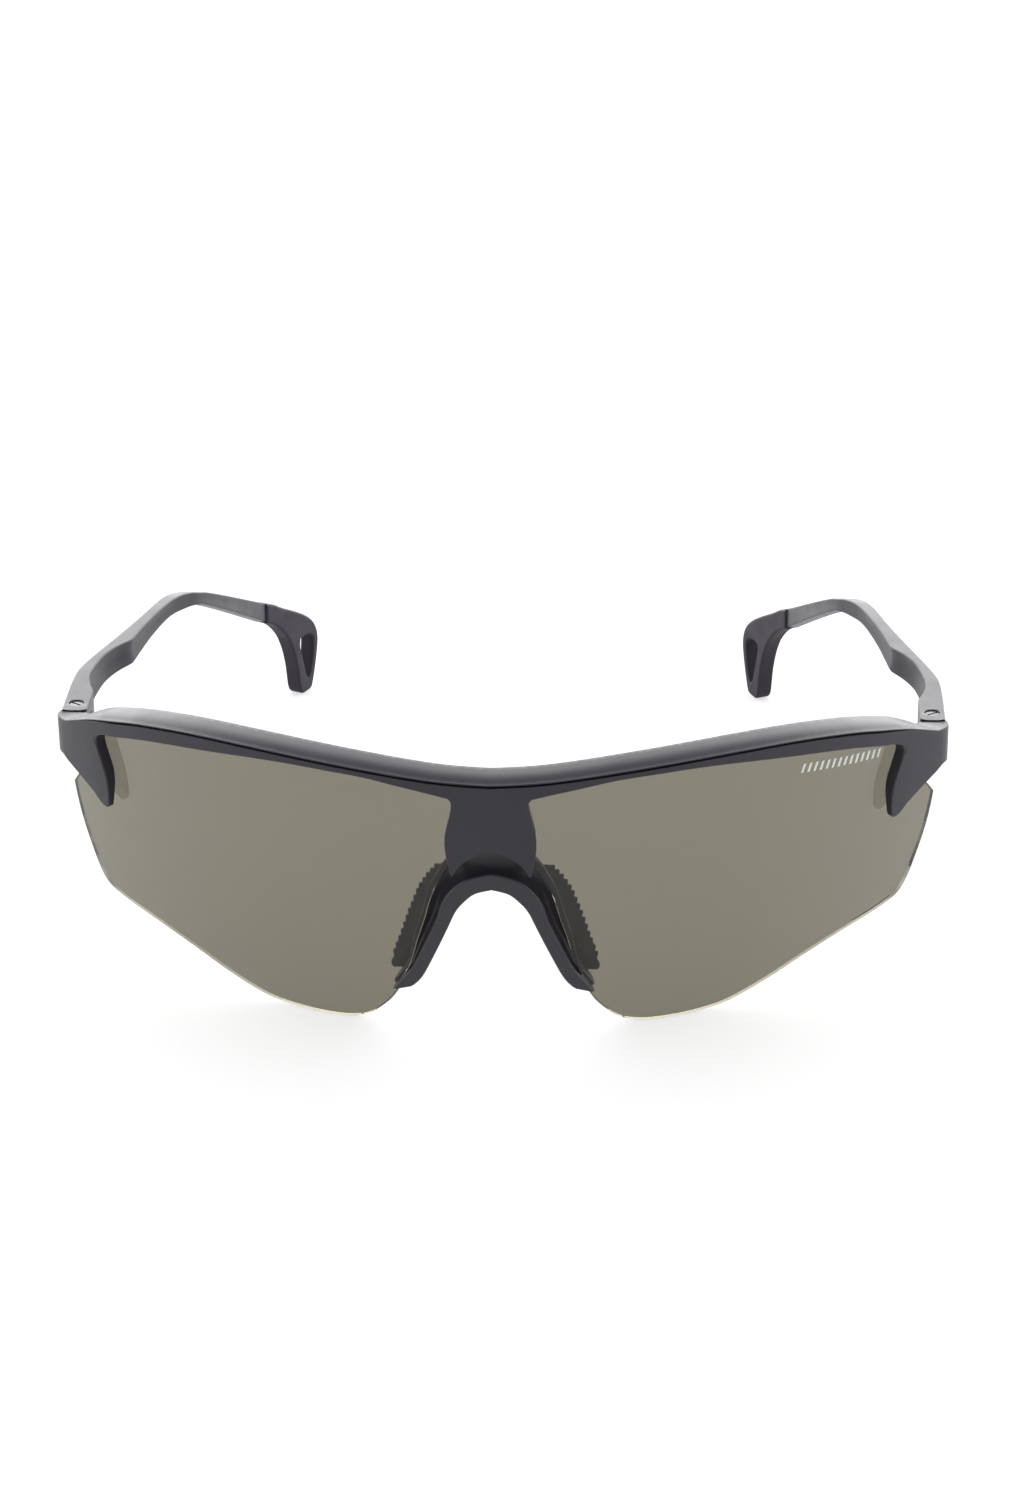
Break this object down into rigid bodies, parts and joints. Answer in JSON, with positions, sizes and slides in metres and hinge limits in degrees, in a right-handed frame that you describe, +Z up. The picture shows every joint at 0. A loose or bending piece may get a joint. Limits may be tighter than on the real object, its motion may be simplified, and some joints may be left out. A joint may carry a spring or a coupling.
{
  "type": "sport sunglasses",
  "caption": "Wraparound sport sunglasses: a single tinted shield lens in a half frame with a nose carrier and rubber pads, and two folding temples with open rubber tips.",
  "frame": {"origin": "centre of the outer box, on the table plane the open glasses stand on", "axes": "+X across the face to the wearer's left, the front looks along -Y, +Z up"},
  "size_m": [0.1468, 0.1454, 0.0492],
  "materials": {
    "frame_nylon": "satin moulded nylon",
    "lens_tint": "tinted shield with a soft mirror",
    "carrier_nylon": "matt moulded",
    "pad_rubber": "soft matt",
    "tip_rubber": "soft matt",
    "steel": "turned",
    "brass": "turned"
  },
  "bodies": {
    "front": {"frame_front": "frame_nylon", "lens": "lens_tint", "nose_carrier": "carrier_nylon", "nose_pad_left": "pad_rubber", "nose_pad_right": "pad_rubber", "nose_core_left": "steel", "nose_core_right": "steel"},
    "temple_left": {"temple_arm_left": "frame_nylon", "temple_tip_left": "tip_rubber", "tip_core_left": "steel", "hinge_screw_left": "steel", "hinge_insert_left": "brass"},
    "temple_right": {"temple_arm_right": "frame_nylon", "temple_tip_right": "tip_rubber", "tip_core_right": "steel", "hinge_screw_right": "steel", "hinge_insert_right": "brass"}
  },
  "joints": [
    {"name": "fold_left", "type": "hinge", "parent": "front", "child": "temple_left", "pos_m": [-0.07035, -0.0309, 0.0372], "axis": [0, 0, -1], "range_deg": [0, 85]},
    {"name": "fold_right", "type": "hinge", "parent": "front", "child": "temple_right", "pos_m": [0.07035, -0.0309, 0.0372], "axis": [0, 0, 1], "range_deg": [0, 76]}
  ]
}
